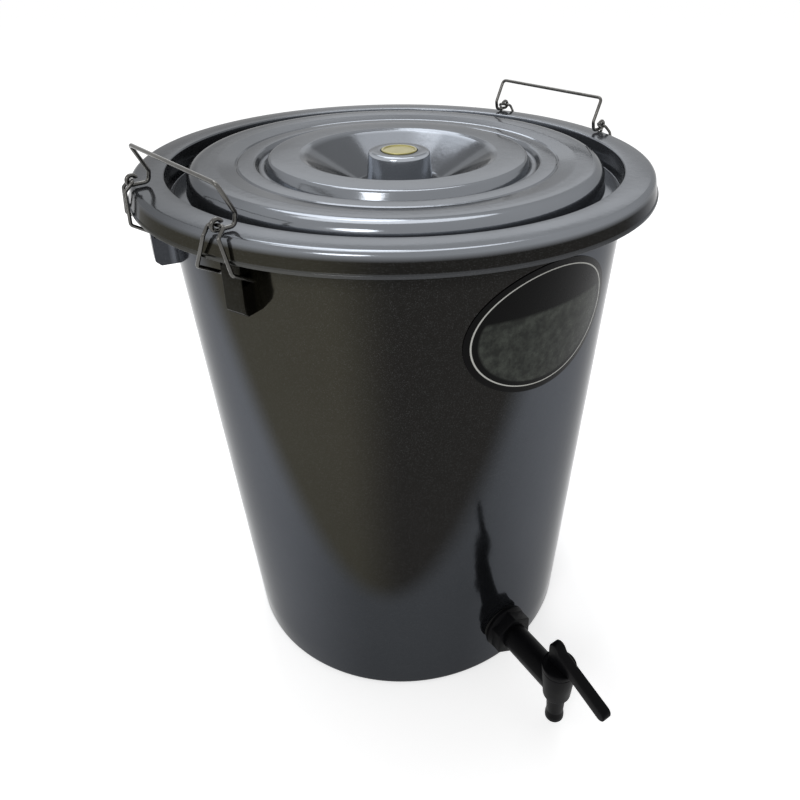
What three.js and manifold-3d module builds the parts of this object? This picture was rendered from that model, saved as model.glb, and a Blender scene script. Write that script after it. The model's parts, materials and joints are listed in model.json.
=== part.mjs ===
// Worm composter: a tapered round bin whose lid sits inside its rim, two wire
// handles that hang on wire links, a drain tap low at the front, and inside a
// perforated platform on four legs that holds the bedding above the sump.
// Millimetres. The bin stands on z = 0, centred on the z axis, and its tap faces -y.

import * as THREE from 'three';
import { mergeVertices } from 'three/addons/utils/BufferGeometryUtils.js';
import Module from 'manifold-3d';

const wasm = await Module();
wasm.setup();

// Sizes shared by every piece
const gap = 0.3; // left between pieces that rest on each other
const overrun = 6; // how far a cutter passes the face that it cuts
const facets = {
  bin: 64,
  lid: 52,
  turned: 24,
  leg: 12,
  hole: 6,
  handle: 8,
  link: 6,
  bend: 3,
  eye: 8,
  corner: 3,
};

const bin = {
  height: 481,
  rimRadius: 220,
  rimOverhang: 21.5, // from the wall, at the skirt's lower edge, out to the rim
  rimWidth: 25, // from the rim in to the mouth
  baseInset: 33.3, // how much narrower the wall is at the floor
  wall: 3,
  floor: 3.5,
  cornerRadius: 9,
  rimThickness: 3,
  rimEdgeRadius: 5,
  mouthEdgeRadius: 1.5,
  skirtDepth: 17.5,
  skirtFlare: 3.5, // how much wider the skirt is at its lower edge
  beadHeight: 2.5,
  beadDepth: 0.8,
  ledgeDepth: 21, // from the rim down to the seat of the lid
  ledgeWidth: 11,
  ledgeThickness: 3,
};

// The lid's heights are counted from the top of the rim, down as minus. Its
// shares are of the lip's radius.
const lid = {
  wall: 2.5,
  play: 4.5, // from the mouth to the lip
  knobRadius: 27,
  knobFootRadius: 29.5,
  knobTop: 5,
  knobEdgeRadius: 4,
  badgeDepth: 1.8,
  dishFloor: -24,
  dishFloorShare: 0.2,
  dishMouthShare: 0.43,
  dishMouthDrop: 1.2, // from the plateau
  plateauTop: 4,
  plateauShare: 0.588,
  plateauEdgeRadius: 3.5,
  valleyFloor: -6,
  valleyWidth: 11.5,
  ringTop: 0.3,
  ringWidth: 13.5,
  grooveWidth: 3,
  grooveDepth: 1.1,
  shoulderTop: 3.5,
  shoulderRiseShare: 0.67, // of the rise from the groove, at the shoulder's middle
  shoulderRound: 11,
  lipWidth: 11.5,
  lipThickness: 3,
};

const badge = { radius: 15.8, play: 0.6, thickness: 2.3, edgeRadius: 0.8 };

const handle = {
  turn: 8.5, // degrees that the pair is turned from the bin's sides
  wire: 3.2,
  spread: 130, // from eye to eye
  inset: 11, // from the rim in to the line of the eyes
  eyePlay: 0.7,
  curl: 255, // degrees of wire round the eye
  footGap: 0.8, // leaves room for the foot to dip as the links swing out
  footIn: 12.5, // how far the foot is inside the eyes
  ankleRise: 8.5,
  ankleIn: 14,
  rise: 26.5, // from the eyes to the grip
  gripIn: 3.5,
  bendRadius: 4,
};

const link = {
  wire: 2.8,
  topWidth: 13,
  bottomWidth: 31,
  standoff: 1, // from the skirt to the wire
  shoulderDrop: 6.5, // from the eye to the outer bend
  shoulderIn: 1,
  heelDrop: 6, // from the skirt's edge to the lower bend
  bendRadius: 2.6,
  tipGap: 3, // between the two ends of the wire
};

const lug = {
  width: 17,
  faceInset: 6.5, // from the rim in to the outer face
  drop: 63, // from the rim to the lower end
  chamfer: 4,
  pinInset: 6.5, // from the outer face to the wire
  pinDrop: 35,
  window: 8.8, // square, so that the wire can swing in it
};

const tap = {
  height: 56, // of the barrel's axis
  reach: 80, // from the wall to the spout's axis
  washerRadius: 20,
  washerThickness: 1.5,
  flangeRadius: 22,
  flangeThickness: 6,
  collarFlats: 37,
  collarLength: 10,
  barrelRadius: 12.6,
  tailRadius: 12.9,
  tailPastNut: 4,
  boreRadius: 8,
  hubRadius: 15.5,
  hubTaper: 3,
  hubTop: 20,
  hubBottom: -13.5,
  hubChamfer: 1.5,
  nutFlats: 38,
  nutLength: 9,
  holePlay: 0.4,
};

// Lengths along the plug are counted from the barrel's axis.
const plug = {
  topRadius: 10.8,
  bottomRadius: 8.8,
  bore: 6,
  portRadius: 5,
  roof: 3,
  capRadius: 15.5,
  capThickness: 4.5,
  capEdgeRadius: 1.2,
  beadRadius: 10,
  beadHeight: 1.6,
  spoutLength: 45,
  spoutRadius: 7.8,
  neckHeight: 10, // from the lip to where the spout starts to widen
  lipRadius: 8.6,
  lipHeight: 4,
  leverWidth: 9.5,
  leverEdge: 1.4,
  leverHeight: 11,
  leverRise: 11, // from the cap to the lever's middle, over the plug's axis
  leverDroop: 16, // degrees
  leverLength: 58.5, // from the plug's axis to the tip
  finLength: 13,
  finFront: 30, // degrees, where the fin's round top runs into the lever
  finHeight: 22, // over the cap
  finOffset: 4,
};

const platform = {
  height: 88, // of its underside
  thickness: 3,
  wallPlay: 2,
  rimHeight: 6,
  rimThickness: 2.5,
  holeRadius: 5,
  holeSpacing: 44,
  edgeMargin: 16,
  socketWall: 2.4,
  socketHeight: 12,
};

const leg = { count: 4, radius: 12, wall: 2.5, placeShare: 0.72 }; // of the platform's radius

const label = {
  width: 150,
  height: 110,
  drop: 88, // from the rim to the middle
  turn: 3, // degrees from the tap towards +x
  thickness: 0.4,
  steps: 40,
};

// Values worked out from the sizes

const baseRadius = bin.rimRadius - bin.rimOverhang - bin.baseInset;
const skirtEdge = bin.height - bin.skirtDepth;
const taper = bin.baseInset / skirtEdge;
const outerRadius = (z) => baseRadius + taper * z;
const innerRadius = (z) => outerRadius(z) - bin.wall;
const skirtRadius = bin.rimRadius + bin.skirtFlare;
const mouthRadius = bin.rimRadius - bin.rimWidth;
const ledgeTop = bin.height - bin.ledgeDepth;
const ledgeInner = mouthRadius - bin.ledgeWidth;

const lipRadius = mouthRadius - lid.play;
const lipTop = lid.lipThickness - bin.ledgeDepth + gap;
const shoulderRadius = lipRadius - lid.lipWidth;
const shoulderEdge = shoulderRadius - lid.shoulderRound;
const plateauRadius = lid.plateauShare * lipRadius;
const dishMouthRadius = lid.dishMouthShare * lipRadius;
const dishFloorRadius = lid.dishFloorShare * lipRadius;
const knobEdge = lid.knobTop - lid.knobEdgeRadius;
const badgeFloor = lid.knobTop - lid.badgeDepth;
const valleyStart = plateauRadius + lid.plateauEdgeRadius;
const ringStart = plateauRadius + lid.valleyWidth;
const grooveStart = ringStart + lid.ringWidth;
const shoulderStart = grooveStart + lid.grooveWidth;

const handleReach = bin.rimRadius - handle.inset;
const halfSpread = handle.spread / 2;
const eyeMeanRadius = link.wire / 2 + handle.eyePlay + handle.wire / 2;
const footHeight = bin.height + handle.footGap + handle.wire / 2;
const eyeHeight = footHeight + eyeMeanRadius;
const linkReach = Math.hypot(handleReach, halfSpread);
const linkTurn = Math.atan2(halfSpread, handleReach);
const lugFace = bin.rimRadius - lug.faceInset;
const pinReach = lugFace - lug.pinInset;
const pinHeight = bin.height - lug.pinDrop;

const tapWall = outerRadius(tap.height);
const flangeBack = outerRadius(tap.height + tap.washerRadius) + tap.washerThickness + gap;
const washerFront = flangeBack - gap;
const spoutReach = tapWall + tap.reach;
const innerLow = innerRadius(tap.height - tap.washerRadius);
const washerBack = Math.sqrt(innerLow ** 2 - tap.washerRadius ** 2) - tap.washerThickness;
const nutFront = washerBack - gap;
const tailEnd = nutFront - tap.nutLength - tap.tailPastNut;

const platformRadius = innerRadius(platform.height) - platform.wallPlay;
const legReach = leg.placeShare * platformRadius;
const labelHeight = bin.height - label.drop;

// Tools that make solids and meshes

function faceOut(vertices, triangles) {
  let volume = 0;
  for (let i = 0; i < triangles.length; i += 3) {
    const [a, b, c] = triangles.slice(i, i + 3).map((v) => new THREE.Vector3().fromArray(vertices, 3 * v));
    volume += a.dot(b.cross(c));
  }
  if (volume > 0) return triangles;
  return triangles.map((_, i) => triangles[i % 3 === 0 ? i : i % 3 === 1 ? i + 1 : i - 1]);
}

function solid(geometry) {
  const bare = geometry.clone();
  bare.deleteAttribute('normal');
  bare.deleteAttribute('uv');
  const merged = mergeVertices(bare);
  const vertices = merged.attributes.position.array;
  const triangles = [];
  for (let i = 0; i < merged.index.count; i += 3) {
    const [a, b, c] = [0, 1, 2].map((k) => merged.index.getX(i + k));
    if (a !== b && b !== c && c !== a) triangles.push(a, b, c);
  }
  return new wasm.Manifold(new wasm.Mesh({
    numProp: 3,
    vertProperties: Float32Array.from(vertices),
    triVerts: Uint32Array.from(faceOut(vertices, triangles)),
  }));
}

const join = (first, ...rest) => rest.reduce((sum, next) => sum.add(next), first);
const cut = (first, ...rest) => rest.reduce((left, next) => left.subtract(next), first);
const common = (first, second) => first.intersect(second);

function mesh(name, body, finish) {
  const made = body.getMesh();
  const geometry = new THREE.BufferGeometry();
  geometry.setAttribute('position', new THREE.BufferAttribute(Float32Array.from(made.vertProperties), 3));
  geometry.setIndex(new THREE.BufferAttribute(Uint32Array.from(made.triVerts), 1));
  geometry.computeVertexNormals();
  const result = new THREE.Mesh(geometry, new THREE.MeshStandardMaterial(finish));
  result.name = name;
  return result;
}

// An outline of [radius, height] points turned about the z axis
function turned(points, steps = facets.bin) {
  const profile = points.map(([r, z]) => new THREE.Vector2(r, z));
  return solid(new THREE.LatheGeometry(profile, steps).rotateX(Math.PI / 2));
}

// A ring's outline closes on itself.
const turnedRing = (points, steps) => turned([...points, points[0]], steps);

// The same turned about the y axis: [radius, distance outwards] points
function turnedOut(points, steps = facets.turned) {
  const profile = points.map(([r, reach]) => new THREE.Vector2(r, -reach));
  return solid(new THREE.LatheGeometry(profile, steps));
}

function arc(r, z, radius, from, to, steps = facets.corner) {
  return Array.from({ length: steps + 1 }, (_, i) => {
    const angle = THREE.MathUtils.degToRad(from + ((to - from) * i) / steps);
    return [r + radius * Math.cos(angle), z + radius * Math.sin(angle)];
  });
}

const shapeOf = (points) => new THREE.Shape(points.map(([x, y]) => new THREE.Vector2(x, y)));

// A [reach, height] outline, drawn looking along x, made thick across x
function slab(points, thickness, edge = 0) {
  const geometry = new THREE.ExtrudeGeometry(shapeOf(points.map(([reach, z]) => [-reach, z])), {
    depth: thickness - 2 * edge,
    bevelEnabled: edge > 0,
    bevelThickness: edge,
    bevelSize: edge,
    bevelOffset: -edge,
    bevelSegments: 2,
  });
  geometry.translate(0, 0, edge - thickness / 2);
  const y = new THREE.Vector3(0, 1, 0);
  const z = new THREE.Vector3(0, 0, 1);
  const x = new THREE.Vector3(1, 0, 0);
  return solid(geometry.applyMatrix4(new THREE.Matrix4().makeBasis(y, z, x)));
}

// A six-sided block along y, between two distances from the bin's axis
function hexagon(flats, from, to) {
  const radius = flats / Math.sqrt(3);
  return turnedOut([[0, from], [radius, from], [radius, to], [0, to]], 6);
}

// A path through points, for a wire. Each point is one step of the tube.
class WirePath extends THREE.Curve {
  constructor(points) {
    super();
    this.points = points;
  }

  getUtoTmapping(u) {
    return u;
  }

  getPoint(t) {
    const place = t * (this.points.length - 1);
    const index = Math.min(Math.floor(place), this.points.length - 2);
    return this.points[index].clone().lerp(this.points[index + 1], place - index);
  }

  getTangent(t) {
    const last = this.points.length - 1;
    const index = Math.round(t * last);
    const here = this.points[index];
    const on = this.points[Math.min(index + 1, last)].clone().sub(here).normalize();
    const back = here.clone().sub(this.points[Math.max(index - 1, 0)]).normalize();
    return on.add(back).normalize();
  }
}

function wire(points, diameter, sides) {
  const section = arc(0, 0, diameter / 2, 0, 360, sides).slice(1);
  return solid(new THREE.ExtrudeGeometry(shapeOf(section), {
    steps: points.length - 1,
    extrudePath: new WirePath(points),
  }));
}

// Corners joined by straight lines, each inner corner rounded
function bent(corners, radius) {
  const points = [corners[0]];
  for (let i = 1; i < corners.length - 1; i += 1) {
    const here = corners[i];
    const back = corners[i - 1].clone().sub(here).normalize();
    const on = corners[i + 1].clone().sub(here).normalize();
    const half = back.angleTo(on) / 2;
    const centre = back.clone().add(on).setLength(radius / Math.sin(half)).add(here);
    const axis = on.clone().cross(back).normalize();
    const start = back.multiplyScalar(radius / Math.tan(half)).add(here).sub(centre);
    for (let k = 0; k <= facets.bend; k += 1) {
      const turn = ((Math.PI - 2 * half) * k) / facets.bend;
      points.push(start.clone().applyAxisAngle(axis, turn).add(centre));
    }
  }
  return [...points, corners[corners.length - 1]];
}

// Finishes
const silver = { color: 0x8d9094, roughness: 0.28, metalness: 0.55 };
const black = { color: 0x141414, roughness: 0.35, metalness: 0 };
const greyPlastic = { color: 0x3b3f42, roughness: 0.6, metalness: 0 };
const rubber = { color: 0x1b1b1b, roughness: 0.85, metalness: 0 };
const steel = { color: 0xb9bab6, roughness: 0.25, metalness: 1 };
const gold = { color: 0xc9a23e, roughness: 0.3, metalness: 1 };

// Bin: floor, tapered wall, ledge for the lid, flat rim and its skirt

function binShell() {
  const round = bin.cornerRadius;
  const slope = Math.hypot(1, taper);
  const cornerAt = baseRadius + taper * round - round * slope;
  const leanAngle = THREE.MathUtils.radToDeg(Math.atan(taper));
  const innerRound = round - bin.wall;
  const outside = [
    [0, 0],
    ...arc(cornerAt, round, round, -90, -leanAngle),
    [outerRadius(bin.height - bin.rimThickness), bin.height - bin.rimThickness],
    [bin.rimRadius - bin.rimThickness, bin.height - bin.rimThickness],
    [skirtRadius - bin.rimThickness, skirtEdge],
    [skirtRadius + bin.beadDepth, skirtEdge],
    [skirtRadius + bin.beadDepth, skirtEdge + bin.beadHeight],
    [skirtRadius - bin.beadDepth, skirtEdge + bin.beadHeight + bin.beadDepth],
    ...arc(bin.rimRadius - bin.rimEdgeRadius, bin.height - bin.rimEdgeRadius, bin.rimEdgeRadius, 0, 90),
  ];
  const lipRound = bin.mouthEdgeRadius;
  const inside = [
    ...arc(mouthRadius + lipRound, bin.height - lipRound, lipRound, 90, 180, 2),
    [mouthRadius, ledgeTop],
    [ledgeInner, ledgeTop],
    [ledgeInner, ledgeTop - bin.ledgeThickness],
    [innerRadius(ledgeTop - bin.ledgeThickness), ledgeTop - bin.ledgeThickness],
    ...arc(cornerAt, bin.floor + innerRound, innerRound, -leanAngle, -90, 3),
    [0, bin.floor],
  ];
  return turned([...outside, ...inside]);
}

// What is inside the skirt's outside, down to the floor: trims the lugs.
function binEnvelope() {
  return turned([
    [0, 0],
    [skirtRadius, 0],
    [skirtRadius, skirtEdge],
    [bin.rimRadius, bin.height - bin.rimEdgeRadius],
    [bin.rimRadius - bin.rimEdgeRadius, bin.height - bin.rimThickness / 2],
    [0, bin.height - bin.rimThickness / 2],
  ]);
}

// The room inside the wall: keeps the lugs out of the bin.
function binCavity() {
  return turned([
    [0, 0],
    [innerRadius(0) + bin.wall / 2, 0],
    [innerRadius(bin.height) + bin.wall / 2, bin.height],
    [0, bin.height],
  ]);
}

// A lug under the rim, with the window that a link's wire goes through
function lugBlock() {
  const root = baseRadius;
  const top = bin.height - bin.rimThickness / 2;
  const foot = bin.height - lug.drop;
  const block = slab([
    [root, top],
    [lugFace, top],
    [lugFace, foot + lug.chamfer],
    [lugFace - lug.chamfer, foot],
    [root, foot],
  ], lug.width);
  const half = lug.window / 2;
  const window = slab([
    [pinReach - half, pinHeight - half],
    [pinReach + half, pinHeight - half],
    [pinReach + half, pinHeight + half],
    [pinReach - half, pinHeight + half],
  ], lug.width + overrun);
  return cut(block, window);
}

function binBody() {
  const envelope = binEnvelope();
  const cavity = binCavity();
  const lugs = [];
  for (const side of [-90, 90]) {
    for (const end of [-1, 1]) {
      const turn = side + handle.turn + end * THREE.MathUtils.radToDeg(linkTurn);
      lugs.push(cut(common(lugBlock().rotate([0, 0, turn]), envelope), cavity));
    }
  }
  const tapHole = turnedOut([
    [0, tailEnd],
    [tap.tailRadius + tap.holePlay, tailEnd],
    [tap.tailRadius + tap.holePlay, flangeBack],
    [0, flangeBack],
  ]).translate([0, 0, tap.height]);
  return cut(join(binShell(), ...lugs), tapHole);
}

// Lid: one turned shell with its knob, dish, plateau, rings, shoulder and lip

// The top face, from the knob's badge out to the lip
function lidTop() {
  const recess = badge.radius + badge.play;
  const soft = lid.plateauEdgeRadius;
  const shoulderRise = lid.shoulderRiseShare * (lid.shoulderTop - lid.ringTop);
  return [
    [0, badgeFloor],
    [recess, badgeFloor],
    [recess, lid.knobTop],
    ...arc(lid.knobRadius - lid.knobEdgeRadius, knobEdge, lid.knobEdgeRadius, 90, 0, 2),
    [lid.knobFootRadius, lid.dishFloor],
    [dishFloorRadius, lid.dishFloor],
    [dishMouthRadius, lid.plateauTop - lid.dishMouthDrop],
    [dishMouthRadius + soft, lid.plateauTop],
    ...arc(plateauRadius - soft, lid.plateauTop - soft, soft, 90, 0, 2),
    [valleyStart, lid.valleyFloor],
    [ringStart - soft, lid.valleyFloor],
    [ringStart, lid.ringTop],
    [grooveStart, lid.ringTop],
    [grooveStart + lid.grooveWidth / 2, lid.ringTop - lid.grooveDepth],
    [shoulderStart, lid.ringTop],
    [(shoulderStart + shoulderEdge) / 2, lid.ringTop + shoulderRise],
    ...arc(shoulderEdge, lid.shoulderTop - lid.shoulderRound, lid.shoulderRound, 90, 0, 4),
    [shoulderRadius, lipTop],
    [lipRadius, lipTop],
  ];
}

// The hidden face below it, one wall lower and plainer
function lidUnder() {
  const wall = lid.wall;
  return [
    [lipRadius, lipTop - lid.lipThickness],
    [shoulderRadius - wall, lipTop - lid.lipThickness],
    ...arc(shoulderEdge, lid.shoulderTop - lid.shoulderRound, lid.shoulderRound - wall, 0, 90, 2),
    [shoulderStart, lid.ringTop - lid.grooveDepth - wall],
    [ringStart + wall, lid.ringTop - lid.grooveDepth - wall],
    [ringStart, lid.valleyFloor - wall],
    [valleyStart - wall, lid.valleyFloor - wall],
    [plateauRadius - wall, lid.plateauTop - wall],
    [dishMouthRadius + wall, lid.plateauTop - wall],
    [dishFloorRadius + wall, lid.dishFloor - wall],
    [lid.knobFootRadius - wall, lid.dishFloor - wall],
    [lid.knobRadius - wall, badgeFloor - wall],
    [0, badgeFloor - wall],
  ];
}

function lidShell() {
  return turned([...lidTop(), ...lidUnder()], facets.lid);
}

function badgeDisc() {
  const under = lid.knobTop - lid.badgeDepth + gap;
  const top = under + badge.thickness;
  return turned([
    [0, under],
    [badge.radius, under],
    ...arc(badge.radius - badge.edgeRadius, top - badge.edgeRadius, badge.edgeRadius, 0, 90, 2),
    [0, top],
  ], facets.turned);
}

// Handles and links. Each set is drawn facing -y and then turned to its side.

const across = (x, reach, z) => new THREE.Vector3(x, -reach, z);

function eyeCurl(x) {
  return Array.from({ length: facets.eye + 1 }, (_, i) => {
    const angle = THREE.MathUtils.degToRad(-90 + (handle.curl * i) / facets.eye);
    const reach = handleReach + eyeMeanRadius * Math.cos(angle);
    return across(x, reach, eyeHeight + eyeMeanRadius * Math.sin(angle));
  });
}

function handleWire() {
  const corners = (x) => [
    across(x, handleReach - handle.footIn, footHeight),
    across(x, handleReach - handle.ankleIn, footHeight + handle.ankleRise),
    across(x, handleReach - handle.gripIn, eyeHeight + handle.rise),
  ];
  const start = eyeCurl(halfSpread).reverse();
  const end = eyeCurl(-halfSpread);
  const between = bent([
    start[start.length - 1],
    ...corners(halfSpread),
    ...corners(-halfSpread).reverse(),
    end[0],
  ], handle.bendRadius);
  return wire([...start, ...between.slice(1, -1), ...end], handle.wire, facets.handle);
}

// A link stands outside the skirt, turned to face straight out from the bin.
function linkWire() {
  const outside = skirtRadius + bin.beadDepth + link.standoff + link.wire / 2;
  const heelReach = Math.sqrt(outside ** 2 - (link.bottomWidth / 2) ** 2);
  const half = (side) => [
    across((side * link.tipGap) / 2, pinReach, pinHeight),
    across((side * link.bottomWidth) / 2, pinReach, pinHeight),
    across((side * link.bottomWidth) / 2, heelReach, skirtEdge - link.heelDrop),
    across((side * link.topWidth) / 2, heelReach - link.shoulderIn, eyeHeight - link.shoulderDrop),
    across((side * link.topWidth) / 2, linkReach, eyeHeight),
  ];
  return wire(bent([...half(-1), ...half(1).reverse()], link.bendRadius), link.wire, facets.link);
}

// Tap, drawn with its barrel's axis at height zero

function tapBody() {
  const collarEnd = flangeBack + tap.flangeThickness + tap.collarLength;
  const barrel = turnedOut([
    [0, tailEnd],
    [tap.tailRadius, tailEnd],
    [tap.tailRadius, flangeBack],
    [tap.flangeRadius, flangeBack],
    [tap.flangeRadius, flangeBack + tap.flangeThickness / 2],
    [tap.collarFlats / 2, flangeBack + tap.flangeThickness],
    [tap.barrelRadius, flangeBack + tap.flangeThickness],
    [tap.barrelRadius, spoutReach],
    [0, spoutReach],
  ]);
  const collar = hexagon(tap.collarFlats, flangeBack + tap.flangeThickness / 2, collarEnd);
  const hub = turned([
    [0, tap.hubBottom],
    [tap.hubRadius - tap.hubTaper - tap.hubChamfer, tap.hubBottom],
    [tap.hubRadius - tap.hubTaper, tap.hubBottom + tap.hubChamfer],
    [tap.hubRadius, tap.hubTop],
    [0, tap.hubTop],
  ], facets.turned).translate([0, -spoutReach, 0]);
  const bore = turnedOut([
    [0, tailEnd - overrun],
    [tap.boreRadius, tailEnd - overrun],
    [tap.boreRadius, spoutReach],
    [0, spoutReach],
  ]);
  const spread = (plug.topRadius - plug.bottomRadius) / (tap.hubTop - tap.hubBottom);
  const seat = turned([
    [0, tap.hubBottom - overrun],
    [plug.bottomRadius + gap - spread * overrun, tap.hubBottom - overrun],
    [plug.topRadius + gap + spread * overrun, tap.hubTop + overrun],
    [0, tap.hubTop + overrun],
  ], facets.turned).translate([0, -spoutReach, 0]);
  return cut(join(barrel, collar, hub), bore, seat);
}

// The plug's own frame has its origin on the barrel's axis. The lever and the
// fin are one slab: up the fin's back, round its top, out along the lever and back.
function leverArm() {
  const capTop = tap.hubTop + gap + plug.capThickness;
  const finMiddle = -plug.finOffset;
  const finRound = plug.finLength / 2;
  const half = plug.leverHeight / 2;
  const fall = Math.tan(THREE.MathUtils.degToRad(plug.leverDroop));
  const middleAt = (reach) => capTop + plug.leverRise - fall * reach;
  const tip = plug.leverLength - half;
  const front = finMiddle + 2 * finRound;
  return slab([
    [finMiddle - finRound, capTop - plug.capThickness / 2],
    ...arc(finMiddle, capTop + plug.finHeight - finRound, finRound, 180, plug.finFront),
    [front, middleAt(front) + half],
    ...arc(tip, middleAt(tip), half, 90 - plug.leverDroop, -90 - plug.leverDroop),
    [plug.capRadius, middleAt(plug.capRadius) - half],
    [plug.capRadius - plug.leverHeight / 2, capTop - plug.capThickness / 2],
  ], plug.leverWidth, plug.leverEdge);
}

function tapPlug() {
  const capUnder = tap.hubTop + gap;
  const capTop = capUnder + plug.capThickness;
  const lip = -plug.spoutLength;
  const beadTop = tap.hubBottom - gap;
  const stem = turned([
    [plug.bore, lip],
    [plug.lipRadius, lip],
    [plug.lipRadius, lip + plug.lipHeight],
    [plug.spoutRadius, lip + plug.neckHeight],
    [plug.bottomRadius, beadTop - plug.beadHeight],
    [plug.beadRadius, beadTop - plug.beadHeight / 2],
    [plug.beadRadius, beadTop],
    [plug.bottomRadius, beadTop],
    [plug.bottomRadius, tap.hubBottom],
    [plug.topRadius, tap.hubTop],
    [plug.topRadius, capUnder],
    [plug.capRadius, capUnder],
    ...arc(plug.capRadius - plug.capEdgeRadius, capTop - plug.capEdgeRadius, plug.capEdgeRadius, 0, 90, 2),
    [0, capTop],
    [0, capUnder - plug.roof],
    [plug.bore, capUnder - plug.roof],
    [plug.bore, lip],
  ], facets.turned);
  // The port faces sideways at rest, so the tap is shut.
  const port = turnedOut([
    [0, 0],
    [plug.portRadius, 0],
    [plug.portRadius, plug.capRadius],
    [0, plug.capRadius],
  ]).rotate([0, 0, 90]);
  return cut(join(stem, leverArm()), port);
}

// A filled cone beside the bin's wall, to shape a washer's face
function wallCone(radiusAt, spacing) {
  return turned([
    [0, 0],
    [radiusAt(0) + spacing, 0],
    [radiusAt(skirtEdge) + spacing, skirtEdge],
    [0, skirtEdge],
  ]).translate([0, 0, -tap.height]);
}

function washerBlank(from, to) {
  const hole = tap.tailRadius + gap;
  const edge = tap.washerRadius;
  return turnedOut([[hole, from], [edge, from], [edge, to], [hole, to], [hole, from]]);
}

function tapOuterWasher() {
  return cut(washerBlank(innerLow, washerFront), wallCone(outerRadius, gap));
}

function tapInnerWasher() {
  return common(washerBlank(washerBack, tapWall), wallCone(innerRadius, -gap));
}

function tapNut() {
  const bore = turnedOut([
    [0, tailEnd - overrun],
    [tap.tailRadius + gap, tailEnd - overrun],
    [tap.tailRadius + gap, nutFront + overrun],
    [0, nutFront + overrun],
  ]);
  return cut(hexagon(tap.nutFlats, nutFront - tap.nutLength, nutFront), bore);
}

// Platform on its legs

const legPlaces = Array.from({ length: leg.count }, (_, i) => {
  const angle = ((i + 0.5) * 2 * Math.PI) / leg.count;
  return [legReach * Math.cos(angle), legReach * Math.sin(angle)];
});

function holePlaces() {
  const radius = innerRadius(platform.height) - platform.edgeMargin;
  const clear = leg.radius + gap + platform.socketWall + platform.holeRadius;
  const places = [];
  for (let ring = platform.holeSpacing; ring < radius; ring += platform.holeSpacing) {
    const count = 6 * Math.round((2 * Math.PI * ring) / platform.holeSpacing / 6);
    for (let i = 0; i < count; i += 1) {
      const angle = (2 * Math.PI * i) / count;
      const place = [ring * Math.cos(angle), ring * Math.sin(angle)];
      const free = legPlaces.every(([x, y]) => Math.hypot(x - place[0], y - place[1]) > clear);
      if (free) places.push(place);
    }
  }
  return places;
}

function tube(inner, outer, from, to, steps) {
  return turnedRing([[inner, from], [outer, from], [outer, to], [inner, to]], steps);
}

function drainagePlatform() {
  const edge = platformRadius;
  const top = platform.height + platform.thickness;
  const disc = turned([
    [0, platform.height],
    [edge, platform.height],
    [edge, top + platform.rimHeight],
    [edge - platform.rimThickness, top + platform.rimHeight],
    [edge - platform.rimThickness, top],
    [0, top],
  ]);
  const socketInner = leg.radius + gap;
  const socketFoot = platform.height - platform.socketHeight;
  const sockets = legPlaces.map(([x, y]) => tube(
    socketInner,
    socketInner + platform.socketWall,
    socketFoot,
    platform.height + platform.thickness / 2,
    facets.leg,
  ).translate([x, y, 0]));
  const holes = holePlaces().map(([x, y]) => turned([
    [0, platform.height - overrun],
    [platform.holeRadius, platform.height - overrun],
    [platform.holeRadius, top + overrun],
    [0, top + overrun],
  ], facets.hole).translate([x, y, 0]));
  return cut(join(disc, ...sockets), ...holes);
}

function platformLeg() {
  return tube(leg.radius - leg.wall, leg.radius, bin.floor + gap, platform.height - gap, facets.leg);
}

// Label: an oval skin that follows the wall

function labelSkin() {
  const wallAt = outerRadius(labelHeight);
  const halfWidth = wallAt * Math.sin(label.width / 2 / wallAt);
  const squash = label.height / 2 / halfWidth;
  const oval = arc(0, 0, halfWidth, 0, 360, label.steps).slice(1).map(([x, y]) => [x, squash * y]);
  const block = new THREE.ExtrudeGeometry(shapeOf(oval), { depth: wallAt, bevelEnabled: false });
  block.rotateX(Math.PI / 2).translate(0, 0, labelHeight);
  const low = labelHeight - label.height;
  const high = labelHeight + label.height / 2 + overrun;
  const skin = turnedRing([
    [outerRadius(low) + gap, low],
    [outerRadius(low) + gap + label.thickness, low],
    [outerRadius(high) + gap + label.thickness, high],
    [outerRadius(high) + gap, high],
  ]);
  const turn = [0, 0, label.turn];
  return common(solid(block.translate(0, -overrun, 0)).rotate(turn), skin);
}

// The whole composter

const group = new THREE.Group();
group.add(mesh('bin_body', binBody(), silver));

const lidGroup = new THREE.Group();
lidGroup.position.z = bin.height;
lidGroup.add(mesh('lid', lidShell(), silver));
lidGroup.add(mesh('lid_badge', badgeDisc(), gold));
group.add(lidGroup);

const sides = [
  { name: 'left', turn: -90, ends: [['front', 1], ['rear', -1]] },
  { name: 'right', turn: 90, ends: [['front', -1], ['rear', 1]] },
];
for (const side of sides) {
  const set = new THREE.Group();
  set.rotation.z = THREE.MathUtils.degToRad(side.turn + handle.turn);
  set.add(mesh(`${side.name}_handle`, handleWire(), steel));
  for (const [end, place] of side.ends) {
    const piece = mesh(`${side.name}_${end}_link`, linkWire(), steel);
    piece.rotation.z = place * linkTurn;
    set.add(piece);
  }
  group.add(set);
}

const tapGroup = new THREE.Group();
tapGroup.position.z = tap.height;
tapGroup.add(mesh('tap_body', tapBody(), black));
tapGroup.add(mesh('tap_outer_washer', tapOuterWasher(), rubber));
tapGroup.add(mesh('tap_inner_washer', tapInnerWasher(), rubber));
tapGroup.add(mesh('tap_back_nut', tapNut(), black));
const plugMesh = mesh('tap_plug', tapPlug(), black);
plugMesh.position.y = -spoutReach;
tapGroup.add(plugMesh);
group.add(tapGroup);

group.add(mesh('drainage_platform', drainagePlatform(), greyPlastic));
legPlaces.forEach(([x, y], i) => {
  const piece = mesh(`platform_leg_${i + 1}`, platformLeg(), greyPlastic);
  piece.position.set(x, y, 0);
  group.add(piece);
});
group.add(mesh('label_skin', labelSkin(), black));

export default group;
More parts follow.
